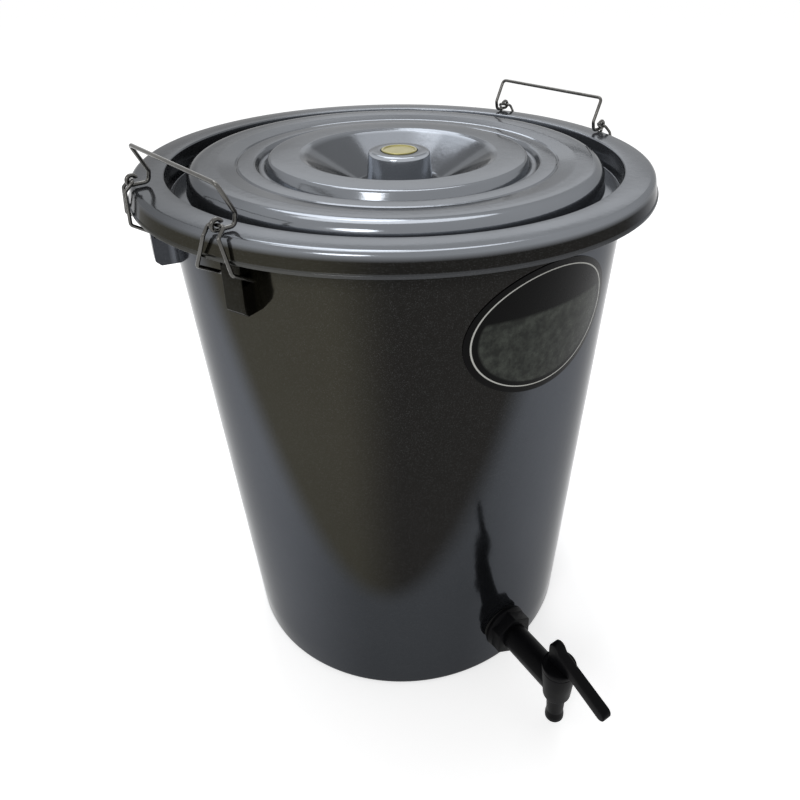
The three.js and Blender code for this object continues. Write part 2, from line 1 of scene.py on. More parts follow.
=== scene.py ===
# %% [markdown]
# # A worm composter, dressed in Blender
#
# The real object is a tapered round bin of glossy silver-grey plastic. Its lid
# sits inside a flat rim, two wire handles hang on wire links from lugs under
# the rim, and a black tap near the floor lets the liquid out.
#
# The CAD model gives the exact shapes and says what moves. This script loads it
# as a fixed frame, models a smoother twin of each piece, and gives each piece a
# finish made of nodes.

import json
from math import atan2, ceil, cos, degrees, hypot, pi, radians, sin, sqrt, tan

import bmesh
import bpy
from mathutils import Matrix, Vector

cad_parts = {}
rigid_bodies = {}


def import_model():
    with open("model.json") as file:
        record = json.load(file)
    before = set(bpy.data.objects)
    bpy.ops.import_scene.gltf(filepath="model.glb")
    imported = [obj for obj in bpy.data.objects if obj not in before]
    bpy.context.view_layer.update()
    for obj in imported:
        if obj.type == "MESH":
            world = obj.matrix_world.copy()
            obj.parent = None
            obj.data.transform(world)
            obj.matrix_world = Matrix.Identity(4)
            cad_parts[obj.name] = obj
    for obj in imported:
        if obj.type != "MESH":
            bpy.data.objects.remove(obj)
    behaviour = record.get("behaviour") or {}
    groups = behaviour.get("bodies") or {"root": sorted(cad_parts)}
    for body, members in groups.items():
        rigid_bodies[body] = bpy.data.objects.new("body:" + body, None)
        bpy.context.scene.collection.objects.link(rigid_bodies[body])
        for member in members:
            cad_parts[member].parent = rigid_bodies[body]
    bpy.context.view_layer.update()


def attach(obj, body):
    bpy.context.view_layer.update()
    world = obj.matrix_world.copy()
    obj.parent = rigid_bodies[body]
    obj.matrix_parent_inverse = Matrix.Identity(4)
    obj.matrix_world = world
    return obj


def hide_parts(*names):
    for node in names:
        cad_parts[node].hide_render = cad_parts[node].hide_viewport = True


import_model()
for leftover in [o for o in bpy.data.objects if o.name in ("Cube", "Light", "Camera")]:
    bpy.data.objects.remove(leftover)

# %% [markdown]
# ## The camera
#
# The photograph looks down on the bin from its left front. A camera fitted to
# the rim, the base and the sides of the bin gives the place and the direction
# below. The real picture was cropped off centre, which the small shift repeats.

# %% Place the camera
PICTURE = 800  # pixels across
focal = 735.28  # pixels
middle = (457.98, 310.57)  # where the lens points, in pixels from the top left
looking = Vector((0.5265, 0.7171, -0.4568)).normalized()
level = looking.cross(Vector((0, 0, 1))).normalized()
upright = level.cross(looking)
roll = 0.013
right = level * cos(roll) + upright * sin(roll)
up = upright * cos(roll) - level * sin(roll)

camera = bpy.data.objects.new("camera", bpy.data.cameras.new("camera"))
bpy.context.scene.collection.objects.link(camera)
turned = Matrix((right, up, -looking)).transposed().to_4x4()
camera.matrix_world = Matrix.Translation((-0.3346, -0.5460, 0.6558)) @ turned
camera.data.sensor_width = 36
camera.data.lens = focal / PICTURE * camera.data.sensor_width
camera.data.shift_x = (PICTURE / 2 - middle[0]) / PICTURE
camera.data.shift_y = (middle[1] - PICTURE / 2) / PICTURE
bpy.context.scene.camera = camera
print("lens", round(camera.data.lens, 2), "shift", camera.data.shift_x, camera.data.shift_y)

# %% [markdown]
# ## Ways of making a shape
#
# Almost everything here is turned, like a pot on a wheel, or bent from wire.
# For a turned piece, one point is pulled along an outline with the extrude tool
# and the outline is spun about an axis. For a wire, a small circle is pulled
# along the straight runs and spun round each bend. A curve object could do both,
# but a mesh made this way keeps its exact radii and can be cut and joined. All
# sizes are written in millimetres, and the value MM makes them metres.

# %% Selecting and naming
MM = 0.001


def put_down():
    """Object mode, with nothing selected."""
    if bpy.context.object and bpy.context.object.mode != "OBJECT":
        bpy.ops.object.mode_set(mode="OBJECT")
    bpy.ops.object.select_all(action="DESELECT")


def pick_up(piece):
    put_down()
    piece.select_set(True)
    bpy.context.view_layer.objects.active = piece


def named(name):
    piece = bpy.context.object
    piece.name = piece.data.name = name
    return piece


# %% Choosing parts of a mesh
def choose(piece, kind, test):
    """In edit mode, selects only the verts, edges or faces that pass the test."""
    bpy.ops.mesh.select_all(action="DESELECT")
    bpy.ops.mesh.select_mode(type={"verts": "VERT", "edges": "EDGE", "faces": "FACE"}[kind])
    work = bmesh.from_edit_mesh(piece.data)
    for part in getattr(work, kind):
        if test(part):
            part.select_set(True)
    work.select_flush_mode()
    bmesh.update_edit_mesh(piece.data)


# %% Rounding the corners of an outline
def rounded(corners, steps=5, closed=False):
    """Corners are (across, up, radius). Gives the points of the rounded outline."""
    points = []
    for i, (x, y, radius) in enumerate(corners):
        here = Vector((x, y))
        if radius == 0 or (not closed and i in (0, len(corners) - 1)):
            points.append(here)
            continue
        back = (Vector(corners[i - 1][:2]) - here).normalized()
        on = (Vector(corners[(i + 1) % len(corners)][:2]) - here).normalized()
        half = back.angle(on) / 2
        centre = here + (back + on).normalized() * radius / sin(half)
        first = here + back * radius / tan(half) - centre
        last = here + on * radius / tan(half) - centre
        way = 1 if first.cross(last) > 0 else -1
        for k in range(steps + 1):
            turn = way * (pi - 2 * half) * k / steps
            points.append(centre + Matrix.Rotation(turn, 2) @ first)
    return points


# %% Adding points to an outline
def spaced(points, longest):
    """The same outline, with more points on its long straight runs."""
    result = [points[0]]
    for here, there in zip(points, points[1:]):
        count = max(1, ceil((there - here).length / longest))
        result += [here.lerp(there, (k + 1) / count) for k in range(count)]
    return result


# %% Drawing an outline
def draw(name, points):
    """One point pulled along the others. Stays in edit mode, all selected."""
    places = [Vector(p) * MM for p in points]
    put_down()
    bpy.ops.mesh.primitive_plane_add(size=MM, location=places[0])
    bpy.ops.object.transform_apply(location=True, rotation=True, scale=True)
    piece = named(name)
    bpy.ops.object.mode_set(mode="EDIT")
    bpy.ops.mesh.select_mode(type="VERT")
    bpy.ops.mesh.select_all(action="SELECT")
    bpy.ops.mesh.merge(type="CENTER")
    for here, there in zip(places, places[1:]):
        bpy.ops.mesh.extrude_vertices_move(TRANSFORM_OT_translate={"value": there - here})
    bpy.ops.mesh.select_all(action="SELECT")
    bpy.ops.mesh.remove_doubles(threshold=0.001 * MM)
    return piece


# %% Smoothing and tidying
SOFT_EDGE = 32  # degrees, above which an edge stays sharp


def soften(piece, angle=SOFT_EDGE):
    pick_up(piece)
    bpy.ops.object.shade_smooth_by_angle(angle=radians(angle))


def tidy_mesh(piece, smooth=SOFT_EDGE):
    """Leaves edit mode with doubles merged, faces out and the soft edges smooth."""
    bpy.ops.mesh.select_all(action="SELECT")
    bpy.ops.mesh.remove_doubles(threshold=0.001 * MM)
    bpy.ops.mesh.normals_make_consistent(inside=False)
    bpy.ops.object.mode_set(mode="OBJECT")
    soften(piece, smooth)
    return piece


# %% Turning an outline
def turn_upright(name, outline, steps=192, place=(0, 0), ring=False):
    """An outline of (radius, height) spun about an upright axis."""
    outline = list(outline) + ([outline[0]] if ring else [])
    piece = draw(name, [(place[0] + r, place[1], z) for r, z in outline])
    centre = Vector((place[0], place[1], 0)) * MM
    bpy.ops.mesh.spin(steps=steps, angle=2 * pi, center=centre, axis=(0, 0, 1))
    return tidy_mesh(piece)


def turn_level(name, outline, height, steps=96, ring=False):
    """An outline of (radius, reach) spun about the level axis of the tap."""
    outline = list(outline) + ([outline[0]] if ring else [])
    piece = draw(name, [(r, -reach, height) for r, reach in outline])
    bpy.ops.mesh.spin(steps=steps, angle=2 * pi, center=(0, 0, height * MM), axis=(0, 1, 0))
    return tidy_mesh(piece)


# %% Blocks
def block(name, outline, width, bevel=0.0):
    """An outline of (reach, height) made thick across x, with softened edges."""
    piece = draw(name, [(-width / 2, -reach, z) for reach, z in [*outline, outline[0]]])
    bpy.ops.mesh.edge_face_add()
    bpy.ops.mesh.extrude_region_move(TRANSFORM_OT_translate={"value": (width * MM, 0, 0)})
    if bevel:
        choose(piece, "edges", lambda e: len(e.link_faces) == 2 and e.calc_face_angle() > 0.5)
        bpy.ops.mesh.bevel(offset=bevel * MM, segments=3)
    return tidy_mesh(piece)


# %% Cuts and joins
def combine(piece, other, operation):
    """Joins, cuts or crosses two closed pieces, and removes the second."""
    change = piece.modifiers.new("combine", "BOOLEAN")
    change.object = other
    change.operation = operation
    change.solver = "EXACT"
    pick_up(piece)
    bpy.ops.object.modifier_apply(modifier=change.name)
    bpy.data.objects.remove(other)
    return piece


def merge_into(piece, others):
    """Puts several shells into one object."""
    pick_up(piece)
    for other in others:
        other.select_set(True)
    bpy.ops.object.join()
    return piece


# %% Turning and copying a piece
def swing(piece, angle):
    """Turns a piece about the bin's axis and fixes it there."""
    pick_up(piece)
    piece.rotation_euler.z = radians(angle)
    bpy.ops.object.transform_apply(location=True, rotation=True, scale=True)
    return piece


def copy_of(piece, name):
    pick_up(piece)
    bpy.ops.object.duplicate()
    return named(name)


# %% Working out the bends of a wire
def bends(corners, radius):
    """The straight runs and the bends of a wire through these corners."""
    moves = []
    here = corners[0]
    for before, corner, after in zip(corners, corners[1:], corners[2:]):
        going = (corner - before).normalized()
        leaving = (after - corner).normalized()
        turn = going.angle(leaving)
        start = corner - going * radius * tan(turn / 2)
        axis = going.cross(leaving).normalized()
        moves.append(start - here)
        moves.append((start + axis.cross(going) * radius, axis, degrees(turn)))
        here = corner + leaving * radius * tan(turn / 2)
    return [*moves, corners[-1] - here]


# %% Bending wire
def bend_wire(name, start, heading, thickness, moves, sides=14):
    """A circle pulled along each straight run and spun round each bend."""
    put_down()
    facing = Vector(heading).to_track_quat("Z", "Y").to_euler()
    bpy.ops.mesh.primitive_circle_add(
        vertices=sides, radius=thickness / 2 * MM, location=start * MM, rotation=facing
    )
    bpy.ops.object.transform_apply(location=True, rotation=True, scale=True)
    piece = named(name)
    bpy.ops.object.mode_set(mode="EDIT")
    bpy.ops.mesh.select_mode(type="VERT")
    bpy.ops.mesh.select_all(action="SELECT")
    for move in moves:
        if isinstance(move, Vector):
            bpy.ops.mesh.extrude_region_move(TRANSFORM_OT_translate={"value": move * MM})
        else:
            centre, axis, turn = move
            bpy.ops.mesh.spin(
                steps=ceil(turn / 12), angle=-radians(turn), center=centre * MM, axis=axis
            )
    bpy.ops.mesh.select_all(action="SELECT")
    bpy.ops.mesh.fill_holes(sides=0)
    choose(piece, "faces", lambda f: len(f.verts) > 4)
    bpy.ops.mesh.region_to_loop()
    bpy.ops.mesh.bevel(offset=thickness / 5 * MM, segments=3)
    return tidy_mesh(piece, smooth=50)


# %% Saying what was made
def report(piece):
    low = [min(v.co[i] for v in piece.data.vertices) / MM for i in range(3)]
    high = [max(v.co[i] for v in piece.data.vertices) / MM for i in range(3)]
    print(piece.name, len(piece.data.polygons), "faces", [round(v, 1) for v in low + high])


# %% [markdown]
# ## The bin
#
# The bin is one moulding: a floor, a wall that leans outwards, a ledge for the
# lid, a flat rim and a skirt with a fine bead. It could grow from a cylinder by
# insets and extrusions, but each corner would then need a bevel of its own. A
# single outline holds all of it, so it is spun whole. Real moulded corners are
# always a little round, and these small radii catch the light along the rim.

# %% Sizes of the bin
HEIGHT = 481
RIM = 220  # radius, as are the next four
MOUTH = 195
SKIRT = 223.5
SKIRT_BEAD = 224.3
BASE = 165.2
SKIRT_EDGE = 463.5  # height of the skirt's lower edge
LEDGE = 460  # height of the ledge for the lid
LEAN = 33.3 / SKIRT_EDGE  # what the wall leans out for each millimetre up
WALL = 3
UNDER_RIM = HEIGHT - WALL
print("the wall leans", round(degrees(atan2(LEAN, 1)), 1), "degrees")


def wall_out(z):
    return BASE + LEAN * z


def wall_in(z):
    return wall_out(z) - WALL


# %% Spin the bin
outside = [
    (0, 0, 0),
    (wall_out(0), 0, 8),
    (wall_out(UNDER_RIM), UNDER_RIM, 2),
    (217, UNDER_RIM, 1.5),
    (220.5, SKIRT_EDGE, 0.6),
    (SKIRT_BEAD, SKIRT_EDGE, 0.7),
    (SKIRT_BEAD, 466, 0.5),
    (SKIRT - 0.3, 466.8, 0.3),
    (RIM + 0.4, HEIGHT, 4.6),
    (MOUTH, HEIGHT, 1.4),
]
inside = [
    (MOUTH, LEDGE, 1),
    (184, LEDGE, 0.5),
    (184, LEDGE - WALL, 0.5),
    (wall_in(LEDGE - WALL), LEDGE - WALL, 1),
    (wall_in(3.5), 3.5, 5),
    (0, 3.5, 0),
]
bin_piece = turn_upright("bin_shell", spaced(rounded(outside + inside), 30), steps=224)
report(bin_piece)

# %% [markdown]
# Four lugs hang under the rim. Each is a block with softened edges and a square
# window, in which a wire can swing. The window could be inset and bridged, but
# a boolean cut leaves the softened edges as they are. One lug is modelled facing
# the tap and then copied round to the four places.

# %% Sizes of the handles, which also place the lugs
HANDLE_TURN = 8.5  # degrees
EYE_REACH = 209
HALF_SPREAD = 65
LINK_TURN = degrees(atan2(HALF_SPREAD, EYE_REACH))
LUG_FACE = 213.5
PIN_REACH = 207
PIN_HEIGHT = 446
CURL = 255  # degrees, how far each eye is curled
sides = {"left": -90 + HANDLE_TURN, "right": 90 + HANDLE_TURN}
ends = {"left_front": 1, "left_rear": -1, "right_front": -1, "right_rear": 1}
turns = {end: sides[end.split("_")[0]] + way * LINK_TURN for end, way in ends.items()}
print("degrees from the tap to each lug:", {end: round(turn, 1) for end, turn in turns.items()})

# %% Make one lug, and hang four
lug_low = HEIGHT - 63
lug_top = HEIGHT - 2
lug = block(
    "lug",
    [
        (wall_out(lug_top) - 1.5, lug_top),
        (LUG_FACE, lug_top),
        (LUG_FACE, lug_low + 4),
        (LUG_FACE - 4, lug_low),
        (wall_out(lug_low) - 1.5, lug_low),
    ],
    17,
    bevel=0.8,
)
half = 4.4  # half the window's width
window = block(
    "window",
    [
        (PIN_REACH - half, PIN_HEIGHT - half),
        (PIN_REACH + half, PIN_HEIGHT - half),
        (PIN_REACH + half, PIN_HEIGHT + half),
        (PIN_REACH - half, PIN_HEIGHT + half),
    ],
    24,
)
combine(lug, window, "DIFFERENCE")
lugs = []
for place, angle in turns.items():
    lugs.append(swing(copy_of(lug, "lug_" + place), angle))
    report(lugs[-1])
bpy.data.objects.remove(lug)

# %% Drill the tap's hole and hang the lugs
TAP_HEIGHT = 56
TAP_HOLE = 13.3  # radius


def drill(piece, radius, start, end):
    """Bores a round hole along the tap's axis, from one reach to another."""
    outline = [(0, start), (radius, start), (radius, end), (0, end)]
    return combine(piece, turn_level("drill", outline, TAP_HEIGHT), "DIFFERENCE")


drill(bin_piece, TAP_HOLE, 140, 185)
merge_into(bin_piece, lugs)
soften(bin_piece)
report(bin_piece)

# %% [markdown]
# ## The lid
#
# From the middle outwards the lid has a round knob in a dish, a raised plateau,
# a valley, a flat ring with a fine groove, a broad rounded shoulder, and a lip
# that rests on the bin's ledge. A single skin could be thickened, but then the
# underside would repeat every fine edge of the top, and a moulded one doesn't.
# So top and underside are drawn as one outline, and the lid is a closed shell.

# %% Spin the lid
lid_top = [
    (0, 3.2, 0),
    (16.4, 3.2, 0.3),
    (16.4, 5, 0.4),
    (27, 5, 3.6),
    (29.5, -24, 3.5),
    (38.1, -24, 9),
    (81.9, 2.6, 5),
    (86, 4, 3),
    (112, 4, 3.4),
    (115.5, -6, 2.4),
    (120.5, -6, 3),
    (123.5, 0.3, 2.4),
    (137, 0.3, 0.5),
    (138.5, -0.8, 0.5),
    (140, 0.3, 0.8),
    (154, 2.5, 30),
    (179, 3.6, 10.6),
    (179.3, -17.7, 1.5),
    (190.5, -17.7, 0.8),
]
lid_under = [
    (190.5, -20.7, 0.8),
    (176.5, -20.7, 0.6),
    (176.5, 0.8, 8),
    (140, -3.3, 2),
    (126, -3.3, 2),
    (123.5, -8.5, 2),
    (113, -8.5, 2),
    (109.5, 1.5, 2),
    (84.4, 1.5, 3),
    (40.6, -26.5, 7),
    (27, -26.5, 1),
    (24.5, 0.7, 2),
    (0, 0.7, 0),
]
lid_outline = [(r, z + HEIGHT, soft) for r, z, soft in lid_top + lid_under]
lid_piece = turn_upright("lid_shell", spaced(rounded(lid_outline, steps=6), 12), steps=224)
report(lid_piece)

# %% [markdown]
# The badge is a small gold disc let into the top of the knob. A plain disc
# would look like a sticker, so it has a raised edge, a shallow field and a
# slight dome, like a pressed metal cap. Its field is left plain.

# %% Spin the badge
badge_outline = [
    (0, 3.5, 0),
    (15.8, 3.5, 0.3),
    (15.8, 5.8, 0.8),
    (13.9, 5.8, 0.5),
    (13.2, 4.9, 0.5),
    (9, 5.15, 6),
    (0, 5.3, 0),
]
badge = turn_upright(
    "badge_disc", rounded([(r, z + HEIGHT, soft) for r, z, soft in badge_outline]), steps=96
)
report(badge)

# %% [markdown]
# ## Handles and links
#
# Each handle is one wire. It starts with an eye curled round a link, dips under
# it as a foot, kinks at the ankle, rises to the grip and comes back down the
# same way. A curve would need many points for each bend, while a spun bend needs
# its corner and its radius. The eyes are spun round their middles too, as a
# wire-bender would.

# %% Bend a handle
EYE_HEIGHT = 487.1
FOOT_HEIGHT = 483.4
EYE = 3.7  # from the middle of the eye to the middle of its wire
HANDLE_WIRE = 3.2


def across(x, reach, z):
    return Vector((x, -reach, z))


def handle_wire(name):
    start_angle = radians(CURL - 90)
    start = across(
        HALF_SPREAD,
        EYE_REACH + EYE * cos(start_angle),
        EYE_HEIGHT + EYE * sin(start_angle),
    )
    leg = [
        across(1, EYE_REACH, FOOT_HEIGHT),
        across(1, EYE_REACH - 12.5, FOOT_HEIGHT),
        across(1, EYE_REACH - 14, FOOT_HEIGHT + 8.5),
        across(1, EYE_REACH - 3.5, EYE_HEIGHT + 26.5),
    ]
    corners = [Vector((HALF_SPREAD, p.y, p.z)) for p in leg]
    corners += [Vector((-HALF_SPREAD, p.y, p.z)) for p in reversed(leg)]
    moves = [(across(HALF_SPREAD, EYE_REACH, EYE_HEIGHT), Vector((1, 0, 0)), CURL)]
    moves += bends(corners, 4)
    moves += [(across(-HALF_SPREAD, EYE_REACH, EYE_HEIGHT), Vector((-1, 0, 0)), CURL)]
    heading = (0, -sin(start_angle), -cos(start_angle))
    return bend_wire(name, start, heading, HANDLE_WIRE, moves)


handle = handle_wire("handle")
handles = {side: swing(copy_of(handle, side + "_grip"), angle) for side, angle in sides.items()}
bpy.data.objects.remove(handle)
for piece in handles.values():
    report(piece)

# %% [markdown]
# A link is a closed loop of thinner wire. Its two tips meet inside the lug, it
# runs out under the skirt, up in front of it, narrows at the shoulders, and its
# top bar goes through the handle's eye. The same bends make it, so one link is
# bent and copied round like the lugs.

# %% Bend a link, and hang four
foot, shoulder = 15.5, 6.5  # half the link's width below and above
link_wire = 2.8
outside_skirt = SKIRT_BEAD + 1 + link_wire / 2
heel = sqrt(outside_skirt**2 - foot**2)
link_reach = hypot(EYE_REACH, HALF_SPREAD)
link_half = [
    across(1.5, PIN_REACH, PIN_HEIGHT),
    across(foot, PIN_REACH, PIN_HEIGHT),
    across(foot, heel, SKIRT_EDGE - 6),
    across(shoulder, heel - 1, EYE_HEIGHT - 6.5),
    across(shoulder, link_reach, EYE_HEIGHT),
]
link_corners = [Vector((-p.x, p.y, p.z)) for p in link_half] + list(reversed(link_half))
link_moves = bends(link_corners, 2.6)
link = bend_wire("link", link_corners[0], (-1, 0, 0), link_wire, link_moves, sides=12)
links = {}
for place, angle in turns.items():
    links[place] = swing(copy_of(link, place + "_loop"), angle)
    report(links[place])
bpy.data.objects.remove(link)

# %% [markdown]
# ## The tap
#
# The tap's body is a barrel with a flange and a six-sided collar, and an
# upright hub at its end. The real one is moulded whole, but its axes differ, so
# one spin can't make it. The parts are turned one by one and joined, and then
# the way for the liquid and the seat of the plug are bored through them.

# %% Sizes of the tap
FLANGE_BACK = 172.46  # reaches from the bin's axis
SPOUT = 249.22
NUT_FRONT = 161.77
TAIL_END = 148.77
HUB_TOP = TAP_HEIGHT + 20
HUB_FOOT = TAP_HEIGHT - 13.5
print("the tap is", round(SPOUT - TAIL_END, 1), "mm from its tail to the spout")


# %% Making a hexagon
def hexagon(name, flats, start, length):
    """A six-sided block along the tap's axis, with softened edges."""
    put_down()
    bpy.ops.mesh.primitive_circle_add(
        vertices=6,
        radius=flats / sqrt(3) * MM,
        fill_type="NGON",
        location=(0, -start * MM, TAP_HEIGHT * MM),
        rotation=(pi / 2, 0, 0),
    )
    bpy.ops.object.transform_apply(location=True, rotation=True, scale=True)
    piece = named(name)
    bpy.ops.object.mode_set(mode="EDIT")
    bpy.ops.mesh.select_all(action="SELECT")
    bpy.ops.mesh.extrude_region_move(TRANSFORM_OT_translate={"value": (0, -length * MM, 0)})
    choose(piece, "edges", lambda e: True)
    bpy.ops.mesh.bevel(offset=0.8 * MM, segments=3)
    return tidy_mesh(piece)


# %% Make the tap's body
flange_front = FLANGE_BACK + 6
barrel = turn_level(
    "tap_barrel",
    rounded(
        [
            (0, TAIL_END, 0),
            (12.9, TAIL_END, 0.8),
            (12.9, FLANGE_BACK, 0),
            (22, FLANGE_BACK, 0.5),
            (22, FLANGE_BACK + 3.6, 1.2),
            (18.5, flange_front, 0.8),
            (12.6, flange_front, 0.8),
            (12.6, SPOUT, 0),
            (0, SPOUT, 0),
        ]
    ),
    TAP_HEIGHT,
)
report(barrel)

# %% Add the collar and the hub, and bore them
collar = hexagon("tap_collar", 37, FLANGE_BACK + 3, 13)
hub = turn_upright(
    "tap_hub",
    rounded(
        [
            (0, HUB_FOOT, 0),
            (12.5, HUB_FOOT, 1.4),
            (15.5, HUB_TOP, 0.7),
            (0, HUB_TOP, 0),
        ]
    ),
    steps=96,
    place=(0, -SPOUT),
)
combine(barrel, collar, "UNION")
combine(barrel, hub, "UNION")
drill(barrel, 8, 140, SPOUT)
seat_outline = [(0, 36), (8.79, 36), (11.40, 80), (0, 80)]
combine(barrel, turn_upright("seat", seat_outline, steps=96, place=(0, -SPOUT)), "DIFFERENCE")
soften(barrel)
report(barrel)

# %% [markdown]
# The plug turns in the hub. Its hollow stem widens into the spout's lip, its
# cap covers the hub, and a lever with a thumb fin stands on the cap. The lever
# has flat sides, which turning can't give, so it is drawn from the side and made
# thick, and its edges are rounded all round.

# %% Make the plug's stem and cap
cap_under = HUB_TOP + 0.3
cap_top = cap_under + 4.5
lip = TAP_HEIGHT - 45
bead = HUB_FOOT - 0.3
stem = turn_upright(
    "plug_stem",
    rounded(
        [
            (0, cap_top, 0),
            (15.5, cap_top, 1.2),
            (15.5, cap_under, 0.4),
            (10.8, cap_under, 0.1),
            (10.8, HUB_TOP, 0),
            (8.8, HUB_FOOT, 0),
            (8.8, bead, 0.2),
            (10, bead, 0.3),
            (10, bead - 1.2, 0.3),
            (8.8, bead - 1.6, 1),
            (7.8, lip + 10, 6),
            (8.6, lip + 4, 1),
            (8.6, lip, 1),
            (6, lip, 0.5),
            (6, cap_under - 3, 0),
            (0, cap_under - 3, 0),
        ]
    ),
    steps=96,
    place=(0, -SPOUT),
)
report(stem)


# %% Add the lever and its thumb fin
def arc(x, y, radius, start, stop, steps):
    angles = [radians(start + (stop - start) * i / steps) for i in range(steps + 1)]
    return [(x + radius * cos(a), y + radius * sin(a)) for a in angles]


fall = tan(radians(16))  # what the lever drops for each millimetre outwards
tip = 53
fin, arm = 6.5, 5.5  # radius of the fin's top, and half the lever's depth
fin_top = cap_top + 22 - fin


def lever_middle(reach):
    return cap_top + 11 - fall * reach


side_view = [
    (-10.5, cap_top - 2),
    *arc(-4, fin_top, fin, 180, 30, 12),
    (4.5, lever_middle(4.5) + arm),
    *arc(tip, lever_middle(tip), arm, 74, -106, 12),
    (15.5, lever_middle(15.5) - arm),
    (10, cap_top - 2),
]
lever = block("lever", [(SPOUT + reach, z) for reach, z in side_view], 9.5, bevel=1.3)
combine(stem, lever, "UNION")
report(stem)

# %% Drill the port that meets the barrel
port = turn_upright("port", [(0, -20), (5, -20), (5, 20), (0, 20)], steps=48)
pick_up(port)
port.rotation_euler.y = pi / 2
port.location = (0.014, -SPOUT * MM, TAP_HEIGHT * MM)
bpy.ops.object.transform_apply(location=True, rotation=True, scale=True)
combine(stem, port, "DIFFERENCE")
soften(stem)
report(stem)

# %% [markdown]
# Two rubber washers seal the hole and a nut holds the tap from the inside. The
# washers are turned as rings. Pressing them onto the round wall would squeeze
# their outline, so they are cut with a cone that has the wall's own lean.

# %% Make the washers and the nut
RING_BORE = 13.2  # radius of the washers' and the nut's bore


def wall_cone(radius_at):
    """A filled cone the size of the wall, to cut with."""
    return turn_upright("cone", [(0, 0), (radius_at(0), 0), (radius_at(400), 400), (0, 400)])


outer_washer = turn_level(
    "seal_ring_outer",
    rounded([(RING_BORE, 160, 0), (20, 160, 0), (20, 172.16, 0.5), (RING_BORE, 172.16, 0)]),
    TAP_HEIGHT,
    ring=True,
)
combine(outer_washer, wall_cone(lambda z: wall_out(z) + 0.3), "DIFFERENCE")
inner_outline = [(RING_BORE, 162.07), (20, 162.07), (20, 180), (RING_BORE, 180)]
inner_washer = turn_level("seal_ring_inner", inner_outline, TAP_HEIGHT, ring=True)
combine(inner_washer, wall_cone(lambda z: wall_in(z) - 0.3), "INTERSECT")
nut = hexagon("tap_nut", 38, NUT_FRONT - 9, 9)
drill(nut, RING_BORE, 140, 175)
for piece in (outer_washer, inner_washer, nut):
    soften(piece)
    report(piece)

# %% [markdown]
# ## Inside the bin
#
# A perforated disc keeps the bedding above the liquid, on four short tubes that
# fit into sockets under it. The holes are drilled with one cutter that is made
# of many short rods, because one boolean is far quicker than one for each hole.

# %% Spin the platform
FLOOR_HEIGHT = 88
PLATFORM = 166.52  # radius
LEG_RING = 119.9  # from the bin's axis to a leg's
quarters = [pi / 4 + i * pi / 2 for i in range(4)]
legs_at = [(LEG_RING * cos(angle), LEG_RING * sin(angle)) for angle in quarters]
platform = turn_upright(
    "platform_disc",
    rounded(
        [
            (0, FLOOR_HEIGHT, 0),
            (PLATFORM, FLOOR_HEIGHT, 0.8),
            (PLATFORM, FLOOR_HEIGHT + 9, 0.8),
            (PLATFORM - 2.5, FLOOR_HEIGHT + 9, 0.8),
            (PLATFORM - 2.5, FLOOR_HEIGHT + 3, 1.5),
            (0, FLOOR_HEIGHT + 3, 0),
        ]
    ),
    steps=128,
)
report(platform)

# %% Add the sockets
for place in legs_at:
    socket = turn_upright(
        "socket",
        [(12.3, 76), (14.7, 76), (14.7, 89.5), (12.3, 89.5)],
        steps=40,
        place=place,
        ring=True,
    )
    combine(platform, socket, "UNION")
report(platform)


# %% Work out the places of the holes
HOLE_STEP = 44


def hole_places():
    places = []
    for ring in (HOLE_STEP, 2 * HOLE_STEP, 3 * HOLE_STEP):
        count = 6 * round(2 * pi * ring / HOLE_STEP / 6)
        for i in range(count):
            angle = 2 * pi * i / count
            spot = Vector((ring * cos(angle), ring * sin(angle)))
            if all((spot - Vector(leg)).length > 19.7 for leg in legs_at):
                places.append(spot)
    return places


print(len(hole_places()), "holes")

# %% Drill the platform
rod = turn_upright("rod", [(0, 80), (5, 80), (5, 96), (0, 96)], steps=24)
rods = []
for spot in hole_places():
    one = copy_of(rod, "rod_copy")
    one.location = (spot.x * MM, spot.y * MM, 0)
    bpy.ops.object.transform_apply(location=True, rotation=True, scale=True)
    rods.append(one)
merge_into(rod, rods)
combine(platform, rod, "DIFFERENCE")
soften(platform)
report(platform)

# %% Make the legs
tubes = []
leg_outline = [(9.5, 3.8, 0.4), (12, 3.8, 0.4), (12, 87.7, 0.4), (9.5, 87.7, 0.4)]
for i, place in enumerate(legs_at):
    ring = rounded(leg_outline, closed=True)
    tubes.append(turn_upright(f"leg_tube_{i + 1}", ring, steps=48, place=place, ring=True))
    report(tubes[-1])

# %% [markdown]
# ## The label
#
# The label is a thin oval film on the wall. An oval ring is drawn in front of
# the wall, pressed onto it with a shrinkwrap, and given its thickness last. A
# disc with points only on its edge would cut through the round wall, so the
# oval is first filled inwards ring by ring.

# %% Sizes of the label
LABEL_HEIGHT = 393
LABEL_TURN = 3
wall_here = wall_out(LABEL_HEIGHT)
label_half = (wall_here * sin(75 / wall_here), 55)
print("the label spans", [round(2 * half, 1) for half in label_half], "mm seen straight on")

# %% Draw the oval and fill it inwards
put_down()
middle_of_label = Vector((0, -0.26, LABEL_HEIGHT * MM))
bpy.ops.mesh.primitive_circle_add(
    vertices=96, radius=label_half[0] * MM, location=middle_of_label, rotation=(pi / 2, 0, 0)
)
label = named("label_film")
label.scale = (1, label_half[1] / label_half[0], 1)
bpy.ops.object.transform_apply(location=True, rotation=True, scale=True)
bpy.ops.object.mode_set(mode="EDIT")
bpy.ops.mesh.select_mode(type="VERT")
bpy.ops.mesh.select_all(action="SELECT")
rings = 14
for k in range(rings - 1):
    shrink = (rings - 1 - k) / (rings - k)
    bpy.ops.mesh.extrude_region_move()
    bpy.ops.transform.resize(value=(shrink, shrink, shrink), center_override=middle_of_label)
bpy.ops.mesh.edge_face_add()
bpy.ops.mesh.poke()
tidy_mesh(label)
report(label)

